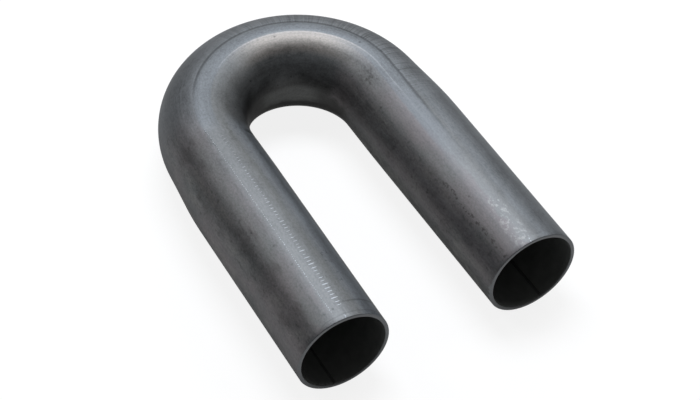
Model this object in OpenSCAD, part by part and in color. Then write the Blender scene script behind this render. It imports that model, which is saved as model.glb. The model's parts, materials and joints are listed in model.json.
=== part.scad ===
// Return bend: one length of welded steel tube, drawn round a die through half a turn.
// It lies flat, with the bend towards +Y, both open ends towards -Y and +Z up.
// The origin is under the middle of its outline, on the surface that it lies on.

/* [Tube] */
// Outside diameter of the tube
tube_od = 50.8; // [30:0.1:70]
// Wall thickness of the tube
wall = 2.1; // [1.2:0.1:4]

/* [Bend] */
// Centre-line radius of the die that the tube is drawn round
die_radius = 50.8; // [45:0.1:200]
// Angle by which the legs spring open from parallel after bending
springback = 2.4; // [0:0.1:6]
// Radius by which the tube necks down as it is drawn round the die
neck = 0.3; // [0.1:0.05:1]

/* [Flattened outside] */
// Depth by which the stretched outside of the bend is drawn in
draw_depth = 2.7; // [1:0.1:5]
// Extra section radius of the drawn-in outside over that of the round tube
draw_ease = 0.4; // [0.3:0.1:3]
// Length of leg over which the drawn-in outside runs out
draw_runout = 24; // [8:1:35]

/* [Legs] */
// Straight length of each leg, from the end of the bend to the cut end
leg_length = 142; // [60:1:400]
// Chamfer left on both edges of a cut end by deburring
rim_chamfer = 0.3; // [0.1:0.05:0.5]

/* [Hidden] */
$fn = 144;

tube_r = tube_od / 2;
bore_r = tube_r - wall;

// The arc keeps its length as it springs open, so its radius grows a little.
bend_angle = 180 - springback;
bend_radius = die_radius * 180 / bend_angle;
leg_tilt = springback / 2;

// The neck starts along the leg, a little before the drawn-in outside.
neck_lead = 2;
neck_run = draw_runout + neck_lead;

// The drawn-in outside is a sweep of its own: a smaller turn, then a straight that leans out
// until it leaves the round leg at the run-out. All reaches are from the centre of the bend.
round_reach = bend_radius + tube_r;
draw_reach = round_reach - draw_depth;
draw_r = tube_r + draw_ease;
draw_turn_radius = draw_reach - draw_r;
draw_tilt = acos(draw_reach / norm([round_reach, draw_runout])) - atan2(draw_runout, round_reach);

// Reach of the part towards -Y, and the place of the bend's centre that puts the origin mid-length
foot_radius = tube_r - rim_chamfer;
foot_reach = leg_length * cos(leg_tilt) - (bend_radius - foot_radius) * sin(leg_tilt);
bend_y = (foot_reach - draw_reach) / 2;

// Each half is made a little past the mid plane, which then trims it
quarter_turn = 90 + 5;
// Overlap of solids that are joined or cut, along a leg
lap = 5;
// Half the side of a cube that is larger than the part
trim_box = round_reach + leg_length;

// A round bar: its turn of the bend, of the given radius, and its leg from the given half section
module round_run(radius, leg_section) {
    rotate_extrude(angle = quarter_turn)
        translate([bend_radius, 0])
            circle(radius);
    translate([bend_radius, 0, 0])
        rotate([90, 0, 0])
            rotate_extrude()
                polygon(leg_section);
}

// Section of the drawn-in sweep: round on the outside, and open inwards past the round tube
module draw_section(radius) {
    open_reach = (bend_radius - tube_r) / 4;
    translate([draw_turn_radius, 0])
        circle(radius);
    translate([open_reach, -radius])
        square([draw_turn_radius - open_reach, 2 * radius]);
}

// All that lies within the drawn-in sweep, and everything past its run-out
module draw_limit(radius) {
    lean_length = (draw_runout + 2 * lap + round_reach * sin(draw_tilt)) / cos(draw_tilt);
    rotate([0, 0, draw_tilt]) {
        rotate_extrude(angle = quarter_turn)
            draw_section(radius);
        rotate([90, 0, 0])
            linear_extrude(lean_length)
                draw_section(radius);
    }
    translate([0, -draw_runout - lap - 2 * trim_box, -trim_box])
        cube(2 * trim_box);
}

// The +X half of the tube: round run and bore, both drawn in round the bend, with a deburred rim
module half_tube() {
    bar_section = [
        [0, 0],
        [tube_r - neck, 0],
        [tube_r, neck_run],
        [tube_r, leg_length - rim_chamfer],
        [tube_r - rim_chamfer, leg_length],
        [0, leg_length]
    ];
    bore_section = [
        [0, 0],
        [bore_r - neck, 0],
        [bore_r, neck_run],
        [bore_r, leg_length - rim_chamfer],
        [bore_r + rim_chamfer, leg_length],
        [bore_r + rim_chamfer, leg_length + lap],
        [0, leg_length + lap]
    ];
    intersection() {
        rotate([0, 0, leg_tilt])
            difference() {
                intersection() {
                    round_run(tube_r - neck, bar_section);
                    draw_limit(draw_r);
                }
                intersection() {
                    round_run(bore_r - neck, bore_section);
                    draw_limit(draw_r - wall);
                }
            }
        translate([0, -trim_box, -trim_box])
            cube(2 * trim_box);
    }
}

module bent_tube() {
    color("dimgray")
        translate([0, bend_y, tube_r]) {
            half_tube();
            mirror([1, 0, 0])
                half_tube();
        }
}

bent_tube();
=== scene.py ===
import json
from math import acos, atan2, ceil, cos, hypot, pi, radians, sin

import bmesh
import bpy
from mathutils import Matrix, Quaternion, Vector


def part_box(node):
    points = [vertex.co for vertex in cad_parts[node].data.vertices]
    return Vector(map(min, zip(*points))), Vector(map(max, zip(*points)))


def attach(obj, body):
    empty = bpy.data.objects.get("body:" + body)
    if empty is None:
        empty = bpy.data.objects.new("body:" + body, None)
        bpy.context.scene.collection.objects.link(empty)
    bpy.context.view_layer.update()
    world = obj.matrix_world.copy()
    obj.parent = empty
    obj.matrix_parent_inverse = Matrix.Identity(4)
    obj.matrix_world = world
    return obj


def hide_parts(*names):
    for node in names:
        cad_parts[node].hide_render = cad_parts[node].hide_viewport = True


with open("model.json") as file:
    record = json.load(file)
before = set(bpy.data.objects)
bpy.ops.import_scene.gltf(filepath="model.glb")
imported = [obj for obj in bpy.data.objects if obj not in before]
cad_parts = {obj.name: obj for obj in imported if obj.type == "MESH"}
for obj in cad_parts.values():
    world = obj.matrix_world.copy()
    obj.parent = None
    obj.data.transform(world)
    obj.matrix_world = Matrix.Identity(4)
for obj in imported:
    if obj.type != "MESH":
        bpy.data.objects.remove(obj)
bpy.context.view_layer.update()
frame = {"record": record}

mm = 0.001
noiseMiddle = 0.5  # a noise texture swings about this value
colourA, colourB, mixedColour = 6, 7, 2  # the colour sockets of a Mix node, two in and one out


# sRGB hex to the linear colour that a shader socket takes
def linear(hexColour):
    channels = [int(hexColour[i:i + 2], 16) / 255 for i in (1, 3, 5)]
    return tuple(c / 12.92 if c < 0.04045 else ((c + 0.055) / 1.055) ** 2.4 for c in channels) + (1.0,)


# links the sockets among the inputs that are given, and sets the others as values
def setInputs(tree, node, inputs):
    for key, value in inputs.items():
        if isinstance(value, bpy.types.NodeSocket):
            tree.links.new(value, node.inputs[key])
        else:
            node.inputs[key].default_value = value


# adds one node with its settings and its inputs
def addNode(tree, kind, inputs=None, **settings):
    node = tree.nodes.new(kind)
    for key, value in settings.items():
        setattr(node, key, value)
    setInputs(tree, node, inputs or {})
    return node


# direction to what stands at an azimuth from the front towards the right and an elevation, in degrees
def directionTo(azimuth, elevation):
    turn = radians(azimuth)
    rise = radians(elevation)
    return Vector((sin(turn) * cos(rise), -cos(turn) * cos(rise), sin(rise)))


# the form of the bend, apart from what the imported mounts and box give
bend = {
    "neck": 0.3 * mm,        # radius that the tube loses round the bend
    "neckRun": 26 * mm,      # length of leg over which it necks down
    "drawEase": 0.4 * mm,    # extra section radius of the drawn-in outside
    "drawRunout": 24 * mm,   # length of leg over which the drawn-in outside runs out
    "rimChamfer": 0.3 * mm,
}
mounts = {mount["name"]: mount for mount in frame["record"]["mounts"]}
spigot = mounts["right_spigot"]
tubeRadius = spigot["dims"]["r_mm"] * mm
boreRadius = mounts["right_bore"]["dims"]["r_mm"] * mm
roundLength = spigot["dims"]["length_mm"] * mm
legAxis = Vector(spigot["axis"])
legTilt = atan2(legAxis.x, -legAxis.y)
legStart = Vector(spigot["pos_m"]) - legAxis * (roundLength / 2 + bend["neckRun"])
bendRadius = legStart.x / cos(legTilt)
bendCentre = legStart - bendRadius * Vector((cos(legTilt), sin(legTilt), 0))
halfArc = bendRadius * (pi / 2 - legTilt)  # centre line from the crown of the bend to a leg
legLength = bend["neckRun"] + roundLength + bend["rimChamfer"]
halfLength = halfArc + legLength
# the drawn-in outside is a sweep of its own, with a smaller turn and a straight that leans out
roundReach = bendRadius + tubeRadius
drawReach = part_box("bent_tube")[1][1] - bendCentre.y
drawRadius = tubeRadius + bend["drawEase"]
drawTurn = drawReach - drawRadius
drawTilt = acos(drawReach / hypot(roundReach, bend["drawRunout"])) - atan2(bend["drawRunout"], roundReach)
print("tube read:", round(tubeRadius / mm, 2), "mm radius,", round(2 * halfLength / mm, 1), "mm long")


# centre line of the tube: along runs from the left end, 0, to the right end
def centreLine(along):
    fromCrown = along - halfLength
    side = 1 if fromCrown > 0 else -1
    turn = min(abs(fromCrown), halfArc) / bendRadius
    straight = max(abs(fromCrown) - halfArc, 0)
    outward = Vector((side * sin(turn), cos(turn), 0))
    onward = Vector((side * cos(turn), -sin(turn), 0))
    return bendCentre + outward * bendRadius + onward * straight, outward


# a point on a wall of the given radius, at an angle from the top towards the outside of the bend
def wallPoint(along, angle, radius):
    centre, outward = centreLine(along)
    return centre + radius * (sin(angle) * outward + cos(angle) * Vector((0, 0, 1)))


# camera, at the photograph's viewing angle
view = {
    "aim": Vector((-2.08, -22.217, 25.4)) * mm,
    "azimuth": -32.56,       # degrees, as the next two
    "elevation": 47.69,
    "roll": 3.666,
    "distance": 1418.8 * mm,
    "lens": 142.87,          # millimetres, as the width of the film
    "filmWidth": 36,
}


def placeCamera():
    back = directionTo(view["azimuth"], view["elevation"])
    data = bpy.data.cameras.new("camera")
    data.sensor_width = view["filmWidth"]
    data.lens = view["lens"]
    camera = bpy.data.objects.new("camera", data)
    bpy.context.collection.objects.link(camera)
    camera.rotation_mode = "QUATERNION"
    camera.rotation_quaternion = back.to_track_quat("Z", "Y") @ Quaternion((0, 0, 1), radians(view["roll"]))
    camera.location = view["aim"] + back * view["distance"]
    bpy.context.scene.camera = camera


placeCamera()
print("camera placed")


# a new material with its node tree and its shader
def newMaterial(name):
    material = bpy.data.materials.new(name)
    material.use_nodes = True
    return material, material.node_tree, material.node_tree.nodes["Principled BSDF"]


finish = {
    "colour": "#646667",       # clean steel, before the zones and patterns
    "edgeTint": "#dcdcdc",     # dulls the sheen at grazing angles
    "oilAndShadeTint": "#a8a8a8",    # and more so on the lower flanks, where oil and painted shade dull it
    "oilAndShadeFrom": 65.0,         # degrees from the top where the oil and painted shade start, and where they are full
    "oilAndShadeFull": 105.0,
    "lineDrift": 11.0,         # degrees that the die line drifts to the top from its start to its end
    "roughness": 0.5,
    "noiseRoughness": 0.6,     # strength of a pattern's finer detail
    "bumpDepth": 0.02 * mm,
    "rippleTone": 0.9,
    "rippleBump": 0.6,
    "rippleFrom": 195.0,       # millimetres along where the ripples start, and where they are strongest
    "rippleFull": 225.0,
    "speckCell": 7 * mm,
    "speckEdge": 0.14,         # radius of a speck as a share of its cell, and of its dark middle
    "speckMiddle": 0.05,
    "speckShare": 0.3,         # share of the cells that have a speck
    "speckTone": -0.4,
}

# noise on the unbent skin: length along and round the tube, detail, and its part in tone, gloss and bump
patterns = {
    "cloud": {"along": 42 * mm, "round": 15 * mm, "detail": 4, "tone": 0.60, "rough": 0.18, "bump": 0.0},
    "blotch": {"along": 13 * mm, "round": 7 * mm, "detail": 4, "tone": 0.45, "rough": 0.10, "bump": 0.0},
    "smudge": {"along": 2.8 * mm, "round": 2.1 * mm, "detail": 4, "tone": 0.40, "rough": 0.08, "bump": 0.2},
    "streak": {"along": 60 * mm, "round": 1.3 * mm, "detail": 2, "tone": 0.36, "rough": 0.06, "bump": 0.3},
    # the grain of drawn steel is finer than this, and is drawn coarser so that it shows
    "grain": {"along": 1.3 * mm, "round": 0.9 * mm, "detail": 2, "tone": 0.85, "rough": 0.14, "bump": 0.6},
    # the ripples show on the rubbed outside alone
    "ripple": {"along": 0.65 * mm, "round": 70 * mm, "detail": 0, "tone": 0.0, "rough": 0.0, "bump": 0.0},
}

# what bending, oil and handling left on the skin, and painted shade and painted highlights, each over the one
# before it: degrees from the top towards the outside of the bend and millimetres along the tube, with the
# widths of the soft edges, how far the edges waver, colour and share of it. A zone may drift with the die
# line, change the roughness, or show through a pattern alone, with the values of the pattern at which it
# starts to show and shows in full.
zones = {
    # oil and painted shade: the lower flanks of the legs darkened
    "oilAndPaintedShadeLegFlanks": {
        "angle": (-150, -96), "angleEdges": (25, 34), "along": (0, 444), "alongEdges": (1, 1),
        "waver": 10, "colour": "#343332", "share": 0.54},
    # oil and painted shade: the inner wall of the bend darkened
    "oilAndPaintedShadeInnerWall": {
        "angle": (-150, -80), "angleEdges": (25, 24), "along": (137.5, 299), "alongEdges": (4, 14),
        "waver": 7, "colour": "#2b2a29", "share": 0.68, "rough": -0.04},
    # oil and painted shade: the lower outside of the left leg darkened
    "oilAndPaintedShadeOutside": {
        "angle": (108, 150), "angleEdges": (48, 25), "along": (0, 165), "alongEdges": (1, 45),
        "waver": 8, "colour": "#2e2d2c", "share": 0.26},
    # painted shade where the inner wall of the bend meets the left leg
    "paintedShadeEyeCorner": {
        "angle": (-150, -70), "angleEdges": (25, 20), "along": (139, 176), "alongEdges": (3, 26),
        "waver": 6, "colour": "#1c1c1c", "share": 0.76, "rough": 0.06},
    "wipedInnerWall": {
        "angle": (-102, -84), "angleEdges": (9, 7), "along": (212, 256), "alongEdges": (14, 16),
        "waver": 6, "colour": "#6a6c6b", "share": 0.24},
    # painted light: the upper flank of the right leg lightened
    "paintedLightFlank": {
        "angle": (-68, -54), "angleEdges": (8, 10), "along": (292, 380), "alongEdges": (14, 40),
        "waver": 8, "colour": "#8e8d8c", "share": 0.34},
    "wipedStart": {
        "angle": (6, 34), "angleEdges": (8, 14), "along": (148, 180), "alongEdges": (10, 16),
        "waver": 6, "colour": "#84878a", "share": 0.55},
    # painted shade: the inner shoulder of the bend darkened at its start
    "paintedShadeShoulderStart": {
        "angle": (-50, -33), "angleEdges": (8, 7), "along": (184, 210), "alongEdges": (10, 12),
        "waver": 4, "colour": "#3a3a39", "share": 0.26},
    # painted light: the inner shoulder of the left leg lighter and bluer
    "paintedLightLeftShoulder": {
        "angle": (-48, -30), "angleEdges": (12, 14), "along": (0, 136), "alongEdges": (1, 20),
        "waver": 5, "colour": "#787e84", "share": 0.75},
    # painted light: the outer shoulder of the right leg lighter and bluer
    "paintedLightRightShoulder": {
        "angle": (12, 60), "angleEdges": (12, 20), "along": (305, 444), "alongEdges": (30, 1),
        "waver": 6, "colour": "#72777c", "share": 0.60},
    "brownFilmLeft": {
        "angle": (16, 84), "angleEdges": (8, 26), "along": (0, 150), "alongEdges": (1, 20),
        "waver": 8, "colour": "#686466", "share": 0.70, "through": ("cloud", 0.34, 0.60)},
    "brownFilmRight": {
        "angle": (-76, -17), "angleEdges": (16, 5), "along": (290, 444), "alongEdges": (20, 1),
        "waver": 13, "colour": "#686466", "share": 0.70, "through": ("cloud", 0.34, 0.60)},
    "dieGap": {
        "angle": (-8.5, 11), "angleEdges": (2.5, 1.0), "along": (150, 350), "alongEdges": (15, 40),
        "waver": 0, "colour": "#5f6367", "share": 0.70, "drifts": True},
    "rubbedOutside": {
        "angle": (11.6, 150), "angleEdges": (1.2, 25), "along": (165, 308), "alongEdges": (30, 36),
        "waver": 0, "colour": "#66696c", "share": 0.85, "drifts": True, "rough": 0.06},
    # burnish that lowers the roughness, and a painted highlight: a lighter warm band inside the top of the
    # bend
    "burnishAndPaintedHighlight": {
        "angle": (-31, -9.8), "angleEdges": (11, 2.0), "along": (226, 258), "alongEdges": (36, 40),
        "waver": 0, "colour": "#777069", "share": 0.55, "rough": -0.05},
    # painted highlight: a thin bright line along the edge inside the top of the bend
    "paintedEdgeHighlight": {
        "angle": (-10.2, -9.4), "angleEdges": (0.7, 0.7), "along": (195, 312), "alongEdges": (14, 24),
        "waver": 0, "colour": "#a6a6a4", "share": 0.15},
    # the die mark, darkened with painted shade in its groove
    "dieMarkAndPaintedGrooveShade": {
        "angle": (10.4, 11.7), "angleEdges": (1.7, 1.5), "along": (182, 306), "alongEdges": (26, 70),
        "waver": 0.2, "colour": "#2c2d2e", "share": 0.50, "drifts": True},
    # painted shade in the wiper crease
    "paintedCreaseShade": {
        "angle": (-72, -50), "angleEdges": (8, 12), "along": (136.8, 138.0), "alongEdges": (0.8, 3.0),
        "waver": 1.5, "colour": "#2a2a2a", "share": 0.60},
    "stainsLeft": {
        "angle": (34, 68), "angleEdges": (7, 9), "along": (3, 148), "alongEdges": (4, 8),
        "waver": 22, "colour": "#2a2826", "share": 0.31, "through": ("blotch", 0.50, 0.64)},
    "smearsLeft": {
        "angle": (44, 112), "angleEdges": (10, 10), "along": (3, 150), "alongEdges": (4, 8),
        "waver": 12, "colour": "#7f7f7d", "share": 0.34, "through": ("blotch", 0.50, 0.36)},
    "spotsLeft": {
        "angle": (36, 70), "angleEdges": (8, 10), "along": (6, 150), "alongEdges": (6, 10),
        "waver": 10, "colour": "#1f1e1d", "share": 0.36, "through": ("smudge", 0.54, 0.70)},
    "stainsRight": {
        "angle": (-76, -46), "angleEdges": (10, 8), "along": (300, 440), "alongEdges": (10, 4),
        "waver": 20, "colour": "#262524", "share": 0.29, "through": ("blotch", 0.51, 0.64)},
    "smearsRight": {
        "angle": (-108, -52), "angleEdges": (9, 10), "along": (306, 440), "alongEdges": (10, 4),
        "waver": 12, "colour": "#7f7f7d", "share": 0.30, "through": ("blotch", 0.50, 0.36)},
    "shoulderSpots": {
        "angle": (-31, -17), "angleEdges": (3, 3), "along": (24, 46), "alongEdges": (4, 6),
        "waver": 4, "colour": "#34363a", "share": 0.60, "through": ("smudge", 0.58, 0.66)},
    "creaseWrinkles": {
        "angle": (-29, -11), "angleEdges": (5, 5), "along": (130, 142), "alongEdges": (4, 3),
        "waver": 4, "colour": "#3c3e40", "share": 0.40, "through": ("smudge", 0.48, 0.60)},
    "bendMottle": {
        "angle": (-37, -23), "angleEdges": (4, 4), "along": (298, 307), "alongEdges": (5, 5),
        "waver": 5, "colour": "#2f2c29", "share": 0.55, "through": ("smudge", 0.46, 0.62)},
    "flankSpots": {
        "angle": (-110, -45), "angleEdges": (8, 8), "along": (300, 444), "alongEdges": (6, 1),
        "waver": 8, "colour": "#252321", "share": 0.40, "through": ("smudge", 0.54, 0.70)},
    "sawRing": {
        "angle": (-62, 10), "angleEdges": (8, 30), "along": (2.8, 3.1), "alongEdges": (0.5, 0.5),
        "waver": 0.2, "colour": "#3a3b3c", "share": 0.30},
    "stopRing": {
        "angle": (-62, -14), "angleEdges": (8, 12), "along": (10.0, 10.4), "alongEdges": (0.6, 0.6),
        "waver": 0.4, "colour": "#3a3b3c", "share": 0.45},
    "handlingTicks": {
        "angle": (-42, -39), "angleEdges": (1.5, 1.5), "along": (386, 441), "alongEdges": (8, 2),
        "waver": 2.5, "colour": "#2c2a28", "share": 0.60, "through": ("smudge", 0.48, 0.58)},
    "scuffs": {
        "angle": (-19, -5), "angleEdges": (5, 5), "along": (412, 440), "alongEdges": (8, 3),
        "waver": 6, "colour": "#a4a5a4", "share": 0.42, "rough": 0.08, "through": ("smudge", 0.53, 0.60)},
}


# bare drawn steel with a film of oil: a dull cool grey, uneven in tone and gloss, dark where oil gathers,
# with painted shade and painted highlights in some zones
def steelMaterial():
    material, nodes, shader = newMaterial("bareDrawnSteel")
    unbent = addNode(nodes, "ShaderNodeAttribute", attribute_name="unbent").outputs["Vector"]
    noise = {}
    tone = 1.0
    rough = finish["roughness"]
    height = 0.0
    for name, pattern in patterns.items():
        perMetre = (1 / pattern["along"], 1 / pattern["round"], 1 / pattern["round"])
        spread = addNode(nodes, "ShaderNodeVectorMath", {
            0: unbent, 1: perMetre}, operation="MULTIPLY").outputs[0]
        noise[name] = addNode(nodes, "ShaderNodeTexNoise", {
            "Vector": spread, "Scale": 1.0, "Detail": pattern["detail"],
            "Roughness": finish["noiseRoughness"]}).outputs[0]
        swing = addNode(nodes, "ShaderNodeMath", {
            0: noise[name], 1: noiseMiddle}, operation="SUBTRACT").outputs[0]
        tone = addNode(nodes, "ShaderNodeMath", {
            0: swing, 1: pattern["tone"], 2: tone}, operation="MULTIPLY_ADD").outputs[0]
        rough = addNode(nodes, "ShaderNodeMath", {
            0: swing, 1: pattern["rough"], 2: rough}, operation="MULTIPLY_ADD").outputs[0]
        height = addNode(nodes, "ShaderNodeMath", {
            0: noise[name], 1: pattern["bump"], 2: height}, operation="MULTIPLY_ADD").outputs[0]
    # place on the skin: angle in degrees and distance along in millimetres
    parts = addNode(nodes, "ShaderNodeSeparateXYZ", {0: unbent}).outputs
    angle = addNode(nodes, "ShaderNodeMath", {0: parts["Y"], 1: parts["Z"]}, operation="ARCTAN2").outputs[0]
    angle = addNode(nodes, "ShaderNodeMath", {0: angle}, operation="DEGREES").outputs[0]
    along = addNode(nodes, "ShaderNodeMath", {0: parts["X"], 1: 1 / mm}, operation="MULTIPLY").outputs[0]
    drift = addNode(nodes, "ShaderNodeMapRange", {
        "Value": parts["X"], "From Min": tube["lineFrom"], "From Max": tube["lineTo"],
        "To Min": 0.0, "To Max": finish["lineDrift"]}).outputs["Result"]
    fromLine = addNode(nodes, "ShaderNodeMath", {0: angle, 1: drift}, operation="ADD").outputs[0]
    colour = linear(finish["colour"])
    masks = {}
    for name, zone in zones.items():
        shift = addNode(nodes, "ShaderNodeMath", {
            0: noise["blotch"], 1: 2 * zone["waver"], 2: -zone["waver"]}, operation="MULTIPLY_ADD").outputs[0]
        limits = (
            (fromLine if "drifts" in zone else angle, zone["angle"], zone["angleEdges"]),
            (along, zone["along"], zone["alongEdges"]),
        )
        mask = 1.0
        for place, (low, high), (lowEdge, highEdge) in limits:
            moved = addNode(nodes, "ShaderNodeMath", {0: place, 1: shift}, operation="ADD").outputs[0]
            for inner, outer in ((low, low - lowEdge), (high, high + highEdge)):
                side = addNode(nodes, "ShaderNodeMapRange", {
                    "Value": moved, "From Min": outer, "From Max": inner},
                    interpolation_type="SMOOTHSTEP").outputs["Result"]
                mask = addNode(nodes, "ShaderNodeMath", {0: mask, 1: side}, operation="MULTIPLY").outputs[0]
        if "through" in zone:
            source, start, full = zone["through"]
            shown = addNode(nodes, "ShaderNodeMapRange", {
                "Value": noise[source], "From Min": start, "From Max": full}).outputs["Result"]
            mask = addNode(nodes, "ShaderNodeMath", {0: mask, 1: shown}, operation="MULTIPLY").outputs[0]
        if "rough" in zone:
            rough = addNode(nodes, "ShaderNodeMath", {
                0: mask, 1: zone["rough"], 2: rough}, operation="MULTIPLY_ADD").outputs[0]
        masks[name] = mask
        part = addNode(nodes, "ShaderNodeMath", {0: mask, 1: zone["share"]}, operation="MULTIPLY").outputs[0]
        colour = addNode(nodes, "ShaderNodeMix", {
            0: part, colourA: colour, colourB: linear(zone["colour"])}, data_type="RGBA").outputs[mixedColour]
    # chatter ripples across the rubbed outside
    ripple = addNode(nodes, "ShaderNodeMath", {
        0: noise["ripple"], 1: noiseMiddle}, operation="SUBTRACT").outputs[0]
    ripple = addNode(nodes, "ShaderNodeMath", {
        0: ripple, 1: masks["rubbedOutside"]}, operation="MULTIPLY").outputs[0]
    chatter = addNode(nodes, "ShaderNodeMapRange", {
        "Value": along, "From Min": finish["rippleFrom"], "From Max": finish["rippleFull"]}).outputs["Result"]
    ripple = addNode(nodes, "ShaderNodeMath", {0: ripple, 1: chatter}, operation="MULTIPLY").outputs[0]
    tone = addNode(nodes, "ShaderNodeMath", {
        0: ripple, 1: finish["rippleTone"], 2: tone}, operation="MULTIPLY_ADD").outputs[0]
    height = addNode(nodes, "ShaderNodeMath", {
        0: ripple, 1: finish["rippleBump"], 2: height}, operation="MULTIPLY_ADD").outputs[0]
    # sheen at grazing angles, duller on the lower flanks from oil and painted shade
    oilAndShade = addNode(nodes, "ShaderNodeMath", {0: angle}, operation="ABSOLUTE").outputs[0]
    oilAndShade = addNode(nodes, "ShaderNodeMapRange", {
        "Value": oilAndShade, "From Min": finish["oilAndShadeFrom"], "From Max": finish["oilAndShadeFull"]}).outputs["Result"]
    edge = addNode(nodes, "ShaderNodeMix", {
        0: oilAndShade, colourA: linear(finish["edgeTint"]), colourB: linear(finish["oilAndShadeTint"])},
        data_type="RGBA").outputs[mixedColour]
    # specks of dirt, one in some of the cells
    spread = addNode(nodes, "ShaderNodeVectorMath", {
        0: unbent, "Scale": 1 / finish["speckCell"]}, operation="SCALE").outputs[0]
    cells = addNode(nodes, "ShaderNodeTexVoronoi", {"Vector": spread, "Scale": 1.0}).outputs
    speck = addNode(nodes, "ShaderNodeMapRange", {
        "Value": cells["Distance"], "From Min": finish["speckEdge"],
        "From Max": finish["speckMiddle"]}).outputs["Result"]
    chosen = addNode(nodes, "ShaderNodeSeparateColor", {0: cells["Color"]}).outputs[0]
    chosen = addNode(nodes, "ShaderNodeMath", {
        0: chosen, 1: finish["speckShare"]}, operation="LESS_THAN").outputs[0]
    speck = addNode(nodes, "ShaderNodeMath", {0: speck, 1: chosen}, operation="MULTIPLY").outputs[0]
    tone = addNode(nodes, "ShaderNodeMath", {
        0: speck, 1: finish["speckTone"], 2: tone}, operation="MULTIPLY_ADD").outputs[0]
    colour = addNode(nodes, "ShaderNodeVectorMath", {0: colour, "Scale": tone}, operation="SCALE").outputs[0]
    bump = addNode(nodes, "ShaderNodeBump", {
        "Height": height, "Strength": 1.0, "Distance": finish["bumpDepth"]}).outputs[0]
    setInputs(nodes, shader, {
        "Base Color": colour, "Roughness": rough, "Normal": bump, "Specular Tint": edge, "Metallic": 1})
    return material


scale = {
    "flake": 5 * mm,
    "detail": 4.0,
    "smoothest": 0.5,          # roughness between the flakes, and on them
    "roughest": 0.75,
    "bumpDepth": 0.05 * mm,
    "boreDark": "#565857",
    "boreLight": "#777977",
    "beadDark": "#3e3f3f",
    "beadLight": "#565757",
}


# black scale left from welding the tube: nearly no light comes back out of the bore
def scaleMaterial(name, dark, light):
    material, nodes, shader = newMaterial(name)
    place = addNode(nodes, "ShaderNodeTexCoord").outputs["Object"]
    flake = addNode(nodes, "ShaderNodeTexNoise", {
        "Vector": place, "Scale": 1 / scale["flake"], "Detail": scale["detail"]}).outputs[0]
    colour = addNode(nodes, "ShaderNodeMix", {
        0: flake, colourA: linear(dark), colourB: linear(light)}, data_type="RGBA").outputs[mixedColour]
    rough = addNode(nodes, "ShaderNodeMapRange", {
        "Value": flake, "To Min": scale["smoothest"], "To Max": scale["roughest"]}).outputs["Result"]
    bump = addNode(nodes, "ShaderNodeBump", {"Height": flake, "Distance": scale["bumpDepth"]}).outputs[0]
    setInputs(nodes, shader, {"Base Color": colour, "Roughness": rough, "Normal": bump})
    return material


rim = {
    "dark": "#46484a",
    "light": "#686a6c",
    "scratchLength": 12 * mm,
    "scratchWidth": 0.5 * mm,  # saw scratches are finer, and are drawn coarser so that they show
    "detail": 2.0,
    "paintedShadeTone": 0.42,          # tone at the lower edge, darkened with painted shade
    "paintedShadeFrom": 2 * mm,        # height where the painted shade is darkest, and where it ends above
    "unshadedFrom": 28 * mm,
    "smoothest": 0.38,
    "roughest": 0.55,
    "bumpDepth": 0.02 * mm,
}


# sawn steel: a paler ring with fine parallel scratches, so that the cut end reads as a thin bright edge
def rimMaterial():
    material, nodes, shader = newMaterial("sawnSteel")
    place = addNode(nodes, "ShaderNodeTexCoord").outputs["Object"]
    perMetre = (1 / rim["scratchLength"], 1 / rim["scratchLength"], 1 / rim["scratchWidth"])
    spread = addNode(nodes, "ShaderNodeVectorMath", {0: place, 1: perMetre}, operation="MULTIPLY").outputs[0]
    scratch = addNode(nodes, "ShaderNodeTexNoise", {
        "Vector": spread, "Scale": 1.0, "Detail": rim["detail"]}).outputs[0]
    colour = addNode(nodes, "ShaderNodeMix", {
        0: scratch, colourA: linear(rim["dark"]), colourB: linear(rim["light"])},
        data_type="RGBA").outputs[mixedColour]
    # darker towards the bottom: painted shade
    rise = addNode(nodes, "ShaderNodeSeparateXYZ", {0: place}).outputs["Z"]
    paintedShade = addNode(nodes, "ShaderNodeMapRange", {
        "Value": rise, "From Min": rim["paintedShadeFrom"], "From Max": rim["unshadedFrom"],
        "To Min": rim["paintedShadeTone"]}).outputs["Result"]
    colour = addNode(nodes, "ShaderNodeVectorMath", {0: colour, "Scale": paintedShade}, operation="SCALE").outputs[0]
    rough = addNode(nodes, "ShaderNodeMapRange", {
        "Value": scratch, "To Min": rim["smoothest"], "To Max": rim["roughest"]}).outputs["Result"]
    bump = addNode(nodes, "ShaderNodeBump", {"Height": scratch, "Distance": rim["bumpDepth"]}).outputs[0]
    setInputs(nodes, shader, {"Base Color": colour, "Roughness": rough, "Normal": bump, "Metallic": 1})
    return material


glint = {
    "dull": "#6c7075",
    "bright": "#a6aaae",
    "wear": 6 * mm,            # size of the duller and brighter patches
    "detail": 3.0,
    "dullRough": 0.5,
    "brightRough": 0.35,
}


# steel burnished by the teeth of the clamp: small bright glints in rows
def glintMaterial():
    material, nodes, shader = newMaterial("burnishedSteel")
    place = addNode(nodes, "ShaderNodeTexCoord").outputs["Object"]
    wear = addNode(nodes, "ShaderNodeTexNoise", {
        "Vector": place, "Scale": 1 / glint["wear"], "Detail": glint["detail"]}).outputs[0]
    colour = addNode(nodes, "ShaderNodeMix", {
        0: wear, colourA: linear(glint["dull"]), colourB: linear(glint["bright"])},
        data_type="RGBA").outputs[mixedColour]
    rough = addNode(nodes, "ShaderNodeMapRange", {
        "Value": wear, "To Min": glint["dullRough"], "To Max": glint["brightRough"]}).outputs["Result"]
    setInputs(nodes, shader, {"Base Color": colour, "Roughness": rough, "Metallic": 1})
    return material


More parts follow.
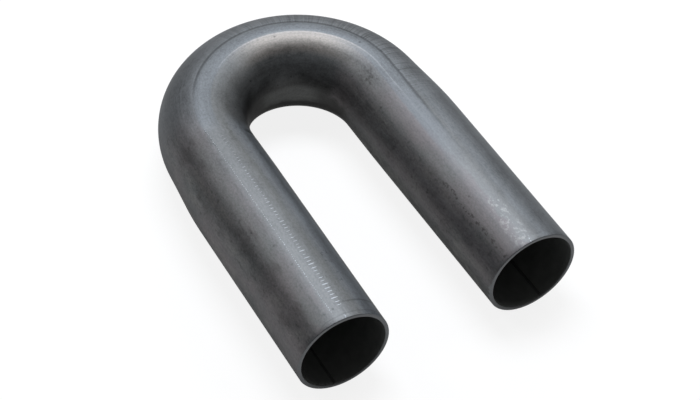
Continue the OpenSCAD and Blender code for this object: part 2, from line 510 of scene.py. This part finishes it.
# a new tree that makes a mesh from a curve, with an input for each of the named values
def newTree(name, curveName, meshName, values):
    tree = bpy.data.node_groups.new(name, "GeometryNodeTree")
    kinds = {int: "NodeSocketInt", float: "NodeSocketFloat", tuple: "NodeSocketVector"}
    tree.interface.new_socket(curveName, in_out="INPUT", socket_type="NodeSocketGeometry")
    for valueName, value in values.items():
        tree.interface.new_socket(valueName, in_out="INPUT", socket_type=kinds[type(value)])
    tree.interface.new_socket(meshName, in_out="OUTPUT", socket_type="NodeSocketGeometry")
    return tree, addNode(tree, "NodeGroupInput").outputs


# runs a tree on a poly line through the points and gives the mesh that comes out
def meshAlong(name, points, tree, values):
    data = bpy.data.curves.new(name, "CURVE")
    data.dimensions = "3D"
    spline = data.splines.new("POLY")
    spline.points.add(len(points) - 1)
    for knot, point in zip(spline.points, points):
        knot.co = (*point, 1)
    path = bpy.data.objects.new(name, data)
    bpy.context.collection.objects.link(path)
    maker = path.modifiers.new(name, "NODES")
    maker.node_group = tree
    for socket in tree.interface.items_tree:
        if socket.name in values:
            maker[socket.identifier] = values[socket.name]
    depsgraph = bpy.context.evaluated_depsgraph_get()
    mesh = bpy.data.meshes.new_from_object(path.evaluated_get(depsgraph), depsgraph=depsgraph)
    bpy.data.objects.remove(path)
    return mesh


# the tube and the lines that the bending dies left in it
tube = {
    "around": 224,             # faces round the tube
    "legStep": 3.6 * mm,       # distance between rings along a leg
    "bendStep": 1.8 * mm,      # and round the bend
    "creaseStep": 0.6 * mm,    # and by the crease, up to its reach on either side
    "creaseReach": 4 * mm,
    "edgeSharp": 0.5 * mm,     # rounding of the drawn-in outside's edge round the bend
    "edgeSoft": 1.2 * mm,      # and where it runs out
    "sharpUntil": -20 * mm,    # places where one goes over to the other, from the end of the bend
    "softFrom": 16 * mm,
    "pullRamp": 4 * mm,        # width over which the drawn-in outside takes hold
    "lineOut": 4.9 * mm,       # the die line starts this far outwards of the top, and ends at the top
    "lineWidth": 0.55 * mm,
    "lineDepth": 0.1 * mm,
    "lineFrom": 146 * mm,
    "lineTo": 392 * mm,
    "lineFadeIn": 45 * mm,     # lengths over which it fades in and out
    "lineFadeOut": 70 * mm,
    "creaseAt": 137.5 * mm,    # crease left by the tip of the wiper on the inside of the left leg
    "creaseWidth": 0.9 * mm,
    "creaseDepth": 0.2 * mm,
    "creaseTop": -10 * mm,     # outwards of the top: where it starts, and where it reaches its full depth
    "creaseFull": -20 * mm,
    "deburrSegments": 2,
    "deburrAngle": 50,         # degrees: only edges sharper than this are deburred
}


# places of the rings along the tube
def stations():
    creaseStart = tube["creaseAt"] - tube["creaseReach"]
    creaseEnd = tube["creaseAt"] + tube["creaseReach"]
    bendEnd = legLength + 2 * halfArc
    stretches = (
        (0, creaseStart, tube["legStep"]),
        (creaseStart, creaseEnd, tube["creaseStep"]),
        (creaseEnd, bendEnd, tube["bendStep"]),
        (bendEnd, 2 * halfLength, tube["legStep"]),
    )
    places = [0.0]
    for start, end, step in stretches:
        count = ceil((end - start) / step)
        places += [start + (end - start) * (i + 1) / count for i in range(count)]
    return places


# sweeps a circle along the centre line, necks it and draws its outside in round the bend
def makeSkin(material):
    sizes = {
        "Radius": tubeRadius,
        "Around": tube["around"],
        "Bend radius": bendRadius,
        "Half arc": halfArc,
        "Neck": bend["neck"],
        "Neck run": bend["neckRun"],
        "Draw radius": drawRadius,
        "Draw turn": drawTurn,
        "Draw tilt": drawTilt,
        "Edge sharp": tube["edgeSharp"],
        "Edge soft": tube["edgeSoft"],
        "Sharp until": tube["sharpUntil"],
        "Soft from": tube["softFrom"],
        "Pull ramp": tube["pullRamp"],
        "Line out": tube["lineOut"],
        "Line width": tube["lineWidth"],
        "Line depth": tube["lineDepth"],
        "Line from": tube["lineFrom"],
        "Line to": tube["lineTo"],
        "Line fade in": tube["lineFadeIn"],
        "Line fade out": tube["lineFadeOut"],
        "Crease at": tube["creaseAt"],
        "Crease width": tube["creaseWidth"],
        "Crease depth": tube["creaseDepth"],
        "Crease top": tube["creaseTop"],
        "Crease full": tube["creaseFull"],
    }
    tree, given = newTree("tubeSweep", "Centre line", "Tube", sizes)
    # along the centre line: past is the distance from the end of the bend, positive on a leg
    spline = addNode(tree, "GeometryNodeSplineParameter").outputs
    length = addNode(tree, "GeometryNodeSplineLength").outputs["Length"]
    middle = addNode(tree, "ShaderNodeMath", {0: length, 1: 0.5}, operation="MULTIPLY").outputs[0]
    fromCrown = addNode(tree, "ShaderNodeMath", {
        0: spline["Length"], 1: middle}, operation="SUBTRACT").outputs[0]
    reach = addNode(tree, "ShaderNodeMath", {0: fromCrown}, operation="ABSOLUTE").outputs[0]
    past = addNode(tree, "ShaderNodeMath", {0: reach, 1: given["Half arc"]}, operation="SUBTRACT").outputs[0]
    intoLeg = addNode(tree, "ShaderNodeMath", {0: past, 1: 0.0}, operation="MAXIMUM").outputs[0]
    intoBend = addNode(tree, "ShaderNodeMath", {0: past, 1: 0.0}, operation="MINIMUM").outputs[0]
    # how far the middle of the drawn-in sweep lies from the centre line
    turned = addNode(tree, "ShaderNodeMath", {
        0: intoBend, 1: given["Bend radius"]}, operation="DIVIDE").outputs[0]
    facing = addNode(tree, "ShaderNodeMath", {0: given["Draw tilt"], 1: turned}, operation="ADD").outputs[0]
    facing = addNode(tree, "ShaderNodeMath", {0: facing, 1: 0.0}, operation="MAXIMUM").outputs[0]
    facing = addNode(tree, "ShaderNodeMath", {0: facing}, operation="COSINE").outputs[0]
    lean = addNode(tree, "ShaderNodeMath", {0: given["Draw tilt"]}, operation="TANGENT").outputs[0]
    drawn = addNode(tree, "ShaderNodeMath", {0: given["Draw turn"], 1: facing}, operation="DIVIDE").outputs[0]
    drawn = addNode(tree, "ShaderNodeMath", {
        0: drawn, 1: given["Bend radius"]}, operation="SUBTRACT").outputs[0]
    drawn = addNode(tree, "ShaderNodeMath", {
        0: intoLeg, 1: lean, 2: drawn}, operation="MULTIPLY_ADD").outputs[0]
    thin = addNode(tree, "ShaderNodeMapRange", {
        "Value": past, "From Min": 0.0, "From Max": given["Neck run"],
        "To Min": given["Neck"], "To Max": 0.0}).outputs["Result"]
    soft = addNode(tree, "ShaderNodeMapRange", {
        "Value": past, "From Min": given["Sharp until"], "From Max": given["Soft from"],
        "To Min": given["Edge sharp"], "To Max": given["Edge soft"]}).outputs["Result"]
    tangent = addNode(tree, "GeometryNodeInputTangent").outputs[0]
    outward = addNode(tree, "ShaderNodeVectorMath", {
        0: (0, 0, 1), 1: tangent}, operation="CROSS_PRODUCT").outputs[0]
    centre = addNode(tree, "GeometryNodeInputPosition").outputs[0]
    # what is known on the centre line is stored there and read back on the skin
    known = {
        "along": ("FLOAT", spline["Length"]),
        "drawn": ("FLOAT", drawn),
        "thin": ("FLOAT", thin),
        "soft": ("FLOAT", soft),
        "outward": ("FLOAT_VECTOR", outward),
        "centre": ("FLOAT_VECTOR", centre),
    }
    path = given["Centre line"]
    stored = {}
    for name, (kind, value) in known.items():
        path = addNode(tree, "GeometryNodeStoreNamedAttribute", {
            "Geometry": path, "Name": name, "Value": value}, data_type=kind, domain="POINT").outputs[0]
        stored[name] = addNode(tree, "GeometryNodeInputNamedAttribute", {
            "Name": name}, data_type=kind).outputs[0]
    ring = addNode(tree, "GeometryNodeCurvePrimitiveCircle", {
        "Resolution": given["Around"], "Radius": given["Radius"]}).outputs["Curve"]
    skin = addNode(tree, "GeometryNodeCurveToMesh", {"Curve": path, "Profile Curve": ring}).outputs["Mesh"]
    # on the skin: how far out and how far up a point lies from the centre line
    place = addNode(tree, "GeometryNodeInputPosition").outputs[0]
    arm = addNode(tree, "ShaderNodeVectorMath", {
        0: place, 1: stored["centre"]}, operation="SUBTRACT").outputs[0]
    out = addNode(tree, "ShaderNodeVectorMath", {
        0: arm, 1: stored["outward"]}, operation="DOT_PRODUCT").outputs["Value"]
    up = addNode(tree, "ShaderNodeSeparateXYZ", {0: arm}).outputs["Z"]
    unbent = addNode(tree, "ShaderNodeCombineXYZ", {"X": stored["along"], "Y": out, "Z": up}).outputs[0]
    skin = addNode(tree, "GeometryNodeStoreNamedAttribute", {
        "Geometry": skin, "Name": "unbent", "Value": unbent},
        data_type="FLOAT_VECTOR", domain="POINT").outputs[0]
    # grooves with the section of a bell: the die line runs along the tube, the wiper crease round its inside
    lineOut = addNode(tree, "ShaderNodeMapRange", {
        "Value": stored["along"], "From Min": given["Line from"], "From Max": given["Line to"],
        "To Min": given["Line out"], "To Max": 0.0}).outputs["Result"]
    bells = []
    for spot, middle, width in (
        (out, lineOut, given["Line width"]),
        (stored["along"], given["Crease at"], given["Crease width"]),
    ):
        across = addNode(tree, "ShaderNodeMath", {0: spot, 1: middle}, operation="SUBTRACT").outputs[0]
        across = addNode(tree, "ShaderNodeMath", {0: across, 1: width}, operation="DIVIDE").outputs[0]
        bell = addNode(tree, "ShaderNodeMath", {0: across, 1: across}, operation="MULTIPLY").outputs[0]
        bell = addNode(tree, "ShaderNodeMath", {0: bell, 1: -1.0}, operation="MULTIPLY").outputs[0]
        bells.append(addNode(tree, "ShaderNodeMath", {0: bell}, operation="EXPONENT").outputs[0])
    lineBell, creaseBell = bells
    fadedIn = addNode(tree, "ShaderNodeMath", {
        0: given["Line from"], 1: given["Line fade in"]}, operation="ADD").outputs[0]
    fadesOut = addNode(tree, "ShaderNodeMath", {
        0: given["Line to"], 1: given["Line fade out"]}, operation="SUBTRACT").outputs[0]
    starts = addNode(tree, "ShaderNodeMapRange", {
        "Value": stored["along"], "From Min": given["Line from"], "From Max": fadedIn}).outputs["Result"]
    ends = addNode(tree, "ShaderNodeMapRange", {
        "Value": stored["along"], "From Min": given["Line to"], "From Max": fadesOut}).outputs["Result"]
    runs = addNode(tree, "ShaderNodeMath", {0: starts, 1: ends}, operation="MULTIPLY").outputs[0]
    lineCut = addNode(tree, "ShaderNodeMath", {0: lineBell, 1: runs}, operation="MULTIPLY").outputs[0]
    lineCut = addNode(tree, "ShaderNodeMath", {
        0: lineCut, 1: given["Line depth"]}, operation="MULTIPLY").outputs[0]
    inside = addNode(tree, "ShaderNodeMapRange", {
        "Value": out, "From Min": given["Crease top"], "From Max": given["Crease full"]},
        interpolation_type="SMOOTHSTEP").outputs["Result"]
    creaseCut = addNode(tree, "ShaderNodeMath", {0: creaseBell, 1: inside}, operation="MULTIPLY").outputs[0]
    cut = addNode(tree, "ShaderNodeMath", {
        0: creaseCut, 1: given["Crease depth"], 2: lineCut}, operation="MULTIPLY_ADD").outputs[0]
    # the neck and the grooves shrink the section towards the centre line
    loss = addNode(tree, "ShaderNodeMath", {0: stored["thin"], 1: cut}, operation="ADD").outputs[0]
    loss = addNode(tree, "ShaderNodeMath", {0: loss, 1: given["Radius"]}, operation="DIVIDE").outputs[0]
    keep = addNode(tree, "ShaderNodeMath", {0: 1.0, 1: loss}, operation="SUBTRACT").outputs[0]
    outNow = addNode(tree, "ShaderNodeMath", {0: out, 1: keep}, operation="MULTIPLY").outputs[0]
    upNow = addNode(tree, "ShaderNodeMath", {0: up, 1: keep}, operation="MULTIPLY").outputs[0]
    # what lies outside the drawn-in sweep is pulled in to it
    beyond = addNode(tree, "ShaderNodeMath", {
        0: outNow, 1: stored["drawn"]}, operation="SUBTRACT").outputs[0]
    spoke = addNode(tree, "ShaderNodeCombineXYZ", {"X": beyond, "Y": upNow}).outputs[0]
    far = addNode(tree, "ShaderNodeVectorMath", {0: spoke}, operation="LENGTH").outputs["Value"]
    limit = addNode(tree, "ShaderNodeMath", {
        0: far, 1: given["Draw radius"], 2: stored["soft"]}, operation="SMOOTH_MIN").outputs[0]
    pull = addNode(tree, "ShaderNodeMath", {0: limit, 1: far}, operation="DIVIDE").outputs[0]
    pull = addNode(tree, "ShaderNodeMath", {0: pull, 1: 1.0}, operation="SUBTRACT").outputs[0]
    outer = addNode(tree, "ShaderNodeMapRange", {
        "Value": beyond, "From Min": 0.0, "From Max": given["Pull ramp"]}).outputs["Result"]
    pull = addNode(tree, "ShaderNodeMath", {0: pull, 1: outer}, operation="MULTIPLY").outputs[0]
    outEnd = addNode(tree, "ShaderNodeMath", {
        0: beyond, 1: pull, 2: outNow}, operation="MULTIPLY_ADD").outputs[0]
    upEnd = addNode(tree, "ShaderNodeMath", {
        0: upNow, 1: pull, 2: upNow}, operation="MULTIPLY_ADD").outputs[0]
    reachOut = addNode(tree, "ShaderNodeVectorMath", {
        0: stored["outward"], "Scale": outEnd}, operation="SCALE").outputs[0]
    reachUp = addNode(tree, "ShaderNodeCombineXYZ", {"Z": upEnd}).outputs[0]
    moved = addNode(tree, "ShaderNodeVectorMath", {
        0: stored["centre"], 1: reachOut}, operation="ADD").outputs[0]
    moved = addNode(tree, "ShaderNodeVectorMath", {0: moved, 1: reachUp}, operation="ADD").outputs[0]
    skin = addNode(tree, "GeometryNodeSetPosition", {"Geometry": skin, "Position": moved}).outputs[0]
    skin = addNode(tree, "GeometryNodeSetShadeSmooth", {"Geometry": skin}).outputs[0]
    skin = addNode(tree, "GeometryNodeRealizeInstances", {"Geometry": skin}).outputs[0]
    skin = addNode(tree, "GeometryNodeSetMaterial", {"Geometry": skin, "Material": material}).outputs[0]
    addNode(tree, "NodeGroupOutput", {"Tube": skin})
    return meshAlong("centreLine", [centreLine(along)[0] for along in stations()], tree, sizes)


marks = {
    "leastSize": 0.55,         # a mark is this share of its size at least, and at most
    "mostSize": 1.1,
    "slip": 0.2 * mm,          # how far a mark may lie off its place
    "subdivisions": 2,
}
# rows of marks from the teeth of the clamp, and nicks at the rims: degrees from the top, start and end along,
# distance between marks, length, width and height of a mark, share of that size at the end of the row
markRows = {
    "clampDots": {
        "angle": 10.0, "start": 7.0 * mm, "end": 142 * mm, "pitch": 1.4 * mm,
        "size": (0.75 * mm, 0.55 * mm, 0.09 * mm), "endSize": 0.9, "seed": 3},
    "clampTicks": {
        "angle": -3.0, "start": 9 * mm, "end": 134 * mm, "pitch": 2.4 * mm,
        "size": (0.7 * mm, 3.8 * mm, 0.08 * mm), "endSize": 0.35, "seed": 8},
    "leftRimNick": {
        "angle": -1.0, "start": 0.8 * mm, "end": 2.4 * mm, "pitch": 0.8 * mm,
        "size": (1.1 * mm, 0.8 * mm, 0.10 * mm), "endSize": 0.6, "seed": 5},
    "rightRimNick": {
        "angle": -7.0, "start": 441.2 * mm, "end": 442.8 * mm, "pitch": 0.8 * mm,
        "size": (1.1 * mm, 0.7 * mm, 0.10 * mm), "endSize": 1.0, "seed": 6},
}


# places flattened spheres along a row, jittered and of uneven size, shrinking towards its end
def makeMarks(name, row, material):
    angle = radians(row["angle"])
    ends = [wallPoint(along, angle, tubeRadius) for along in (row["start"], row["end"])]
    onward = (ends[1] - ends[0]).normalized()
    outward = wallPoint(row["start"], angle, 1) - wallPoint(row["start"], angle, 0)
    turn = Matrix((onward, outward.cross(onward), outward)).transposed().to_euler()
    sizes = {
        "Pitch": row["pitch"],
        "Size": row["size"],
        "Turn": tuple(turn),
        "End size": row["endSize"],
        "Least size": marks["leastSize"],
        "Most size": marks["mostSize"],
        "Slip": (marks["slip"], marks["slip"], 0.0),
        "Subdivisions": marks["subdivisions"],
        "Seed": row["seed"],
    }
    tree, given = newTree("markRow", "Row", "Marks", sizes)
    points = addNode(tree, "GeometryNodeCurveToPoints", {
        "Curve": given["Row"], "Length": given["Pitch"]}, mode="LENGTH").outputs["Points"]
    count = addNode(tree, "GeometryNodeAttributeDomainSize", {
        "Geometry": points}, component="POINTCLOUD").outputs["Point Count"]
    index = addNode(tree, "GeometryNodeInputIndex").outputs[0]
    share = addNode(tree, "ShaderNodeMath", {0: index, 1: count}, operation="DIVIDE").outputs[0]
    shrink = addNode(tree, "ShaderNodeMapRange", {
        "Value": share, "To Min": 1.0, "To Max": given["End size"]}).outputs["Result"]
    # sockets 0 and 1 of a Random Value node are the limits of a vector, 2 and 3 those of a number
    uneven = addNode(tree, "FunctionNodeRandomValue", {
        2: given["Least size"], 3: given["Most size"], "Seed": given["Seed"]}, data_type="FLOAT").outputs[1]
    shrink = addNode(tree, "ShaderNodeMath", {0: shrink, 1: uneven}, operation="MULTIPLY").outputs[0]
    size = addNode(tree, "ShaderNodeVectorMath", {
        0: given["Size"], "Scale": shrink}, operation="SCALE").outputs[0]
    slipBack = addNode(tree, "ShaderNodeVectorMath", {
        0: given["Slip"], "Scale": -1.0}, operation="SCALE").outputs[0]
    slip = addNode(tree, "FunctionNodeRandomValue", {
        0: slipBack, 1: given["Slip"], "Seed": given["Seed"]}, data_type="FLOAT_VECTOR").outputs[0]
    points = addNode(tree, "GeometryNodeSetPosition", {"Geometry": points, "Offset": slip}).outputs[0]
    # a sphere of diameter 1, so that the size of a mark is its scale
    ball = addNode(tree, "GeometryNodeMeshIcoSphere", {
        "Radius": 0.5, "Subdivisions": given["Subdivisions"]}).outputs["Mesh"]
    balls = addNode(tree, "GeometryNodeInstanceOnPoints", {
        "Points": points, "Instance": ball, "Rotation": given["Turn"], "Scale": size}).outputs[0]
    balls = addNode(tree, "GeometryNodeRealizeInstances", {"Geometry": balls}).outputs[0]
    balls = addNode(tree, "GeometryNodeSetShadeSmooth", {"Geometry": balls}).outputs[0]
    balls = addNode(tree, "GeometryNodeSetMaterial", {"Geometry": balls, "Material": material}).outputs[0]
    addNode(tree, "NodeGroupOutput", {"Marks": balls})
    return meshAlong(name, ends, tree, sizes)


bead = {
    "leftAngle": 171.0,        # degrees from the top: the weld line wanders a little round the bore
    "rightAngle": 161.0,
    "radius": 0.9 * mm,
    "sunk": 0.5 * mm,          # its middle lies this far inside the wall
    "step": 4 * mm,
    "around": 12,
}


# the weld bead is a thin round rod, mostly sunk in the wall of the bore
def makeBead(material):
    count = ceil(2 * halfLength / bead["step"])
    points = []
    for i in range(count + 1):
        share = i / count
        along = bend["rimChamfer"] + share * 2 * (halfLength - bend["rimChamfer"])
        angle = radians(bead["leftAngle"] + share * (bead["rightAngle"] - bead["leftAngle"]))
        past = abs(along - halfLength) - halfArc
        thin = bend["neck"] * (1 - min(max(past / bend["neckRun"], 0), 1))
        points.append(wallPoint(along, angle, boreRadius + bead["sunk"] - thin))
    sizes = {"Radius": bead["radius"], "Around": bead["around"]}
    tree, given = newTree("beadSweep", "Weld line", "Bead", sizes)
    ring = addNode(tree, "GeometryNodeCurvePrimitiveCircle", {
        "Resolution": given["Around"], "Radius": given["Radius"]}).outputs["Curve"]
    rod = addNode(tree, "GeometryNodeCurveToMesh", {
        "Curve": given["Weld line"], "Profile Curve": ring, "Fill Caps": True}).outputs["Mesh"]
    rod = addNode(tree, "GeometryNodeSetShadeSmooth", {"Geometry": rod}).outputs[0]
    rod = addNode(tree, "GeometryNodeRealizeInstances", {"Geometry": rod}).outputs[0]
    rod = addNode(tree, "GeometryNodeSetMaterial", {"Geometry": rod, "Material": material}).outputs[0]
    addNode(tree, "NodeGroupOutput", {"Bead": rod})
    return meshAlong("weldBead", points, tree, sizes)


def makeTube():
    materials = [
        steelMaterial(),
        scaleMaterial("weldScale", scale["boreDark"], scale["boreLight"]),
        rimMaterial(),
        glintMaterial(),
        scaleMaterial("burntWeldBead", scale["beadDark"], scale["beadLight"]),
    ]
    skinSlot, boreSlot, rimSlot, markSlot, beadSlot = range(len(materials))
    skin = makeSkin(materials[skinSlot])
    skin.materials.clear()
    for material in materials:
        skin.materials.append(material)
    piece = bpy.data.objects.new("bentTube", skin)
    bpy.context.collection.objects.link(piece)
    wall = piece.modifiers.new("wall", "SOLIDIFY")
    wall.thickness = tubeRadius - boreRadius
    wall.offset = -1
    wall.material_offset = boreSlot
    wall.material_offset_rim = rimSlot
    deburr = piece.modifiers.new("deburr", "BEVEL")
    deburr.width = bend["rimChamfer"]
    deburr.segments = tube["deburrSegments"]
    deburr.limit_method = "ANGLE"
    deburr.angle_limit = radians(tube["deburrAngle"])
    depsgraph = bpy.context.evaluated_depsgraph_get()
    finished = bpy.data.meshes.new_from_object(piece.evaluated_get(depsgraph), depsgraph=depsgraph)
    piece.modifiers.clear()
    # the marks and the bead join the tube, each with its own material slot
    whole = bmesh.new()
    whole.from_mesh(finished)
    added = [(makeMarks(name, row, materials[markSlot]), markSlot) for name, row in markRows.items()]
    added.append((makeBead(materials[beadSlot]), beadSlot))
    for mesh, slot in added:
        mesh.polygons.foreach_set("material_index", [slot] * len(mesh.polygons))
        whole.from_mesh(mesh)
    whole.to_mesh(finished)
    whole.free()
    piece.data = finished
    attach(piece, "root")
    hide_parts("bent_tube")
    print("tube made:", len(finished.polygons), "faces")


makeTube()

# plain pale floor and soft light from above and behind
studio = {
    "floorSize": 6.0,
    "floorColour": "#727272",
    "floorLift": 0.85,         # share of white that the paper adds by itself where it is seen
    "worldColour": "#ffffff",
    "worldStrength": 0.09,
    "lampDistance": 1.2,
}
# azimuth from the front towards the right and elevation in degrees, size in metres, power in watts
lamps = {
    "overheadSoftbox": {
        "azimuth": 155, "elevation": 69, "width": 0.75, "height": 0.45, "power": 12.2, "colour": "#f4f8ff"},
    "backStrip": {
        "azimuth": 150, "elevation": 24, "width": 1.2, "height": 0.35, "power": 4.4, "colour": "#ffffff"},
    "rightFill": {
        "azimuth": 90, "elevation": 46, "width": 0.4, "height": 0.4, "power": 2.3, "colour": "#ffffff"},
    "backLeftFill": {
        "azimuth": 225, "elevation": 46, "width": 0.4, "height": 0.4, "power": 2.5, "colour": "#ffffff"},
}


# matt paper that shows white to the camera and in reflections, and still takes the shadow
def paperMaterial():
    material = bpy.data.materials.new("palePaper")
    material.use_nodes = True
    nodes = material.node_tree
    nodes.nodes.clear()
    paper = addNode(nodes, "ShaderNodeBsdfDiffuse", {"Color": linear(studio["floorColour"])}).outputs[0]
    ray = addNode(nodes, "ShaderNodeLightPath").outputs
    seen = addNode(nodes, "ShaderNodeMath", {
        0: ray["Is Camera Ray"], 1: ray["Is Glossy Ray"]}, operation="ADD").outputs[0]
    seen = addNode(nodes, "ShaderNodeMath", {
        0: seen, 1: ray["Is Transmission Ray"]}, operation="ADD").outputs[0]
    lift = addNode(nodes, "ShaderNodeMath", {
        0: seen, 1: studio["floorLift"]}, operation="MULTIPLY").outputs[0]
    glow = addNode(nodes, "ShaderNodeEmission", {"Strength": lift}).outputs[0]
    both = addNode(nodes, "ShaderNodeAddShader", {0: paper, 1: glow}).outputs[0]
    addNode(nodes, "ShaderNodeOutputMaterial", {"Surface": both})
    return material


def placeLamp(name, lamp):
    back = directionTo(lamp["azimuth"], lamp["elevation"])
    data = bpy.data.lights.new(name, "AREA")
    data.shape = "RECTANGLE"
    data.size = lamp["width"]
    data.size_y = lamp["height"]
    data.energy = lamp["power"]
    data.color = linear(lamp["colour"])[:3]
    piece = bpy.data.objects.new(name, data)
    piece.rotation_mode = "QUATERNION"
    piece.rotation_quaternion = back.to_track_quat("Z", "Y")
    piece.location = back * studio["lampDistance"]
    bpy.context.collection.objects.link(piece)


def makeStudio():
    half = studio["floorSize"] / 2
    corners = [(-half, -half, 0), (half, -half, 0), (half, half, 0), (-half, half, 0)]
    mesh = bpy.data.meshes.new("floor")
    mesh.from_pydata(corners, [], [(0, 1, 2, 3)])
    mesh.materials.append(paperMaterial())
    floor = bpy.data.objects.new("floor", mesh)
    bpy.context.collection.objects.link(floor)
    world = bpy.data.worlds.new("studio")
    world.use_nodes = True
    setInputs(world.node_tree, world.node_tree.nodes["Background"], {
        "Color": linear(studio["worldColour"]), "Strength": studio["worldStrength"]})
    bpy.context.scene.world = world
    for name, lamp in lamps.items():
        placeLamp(name, lamp)


makeStudio()
bpy.context.scene.view_settings.view_transform = "Standard"
print("studio made")
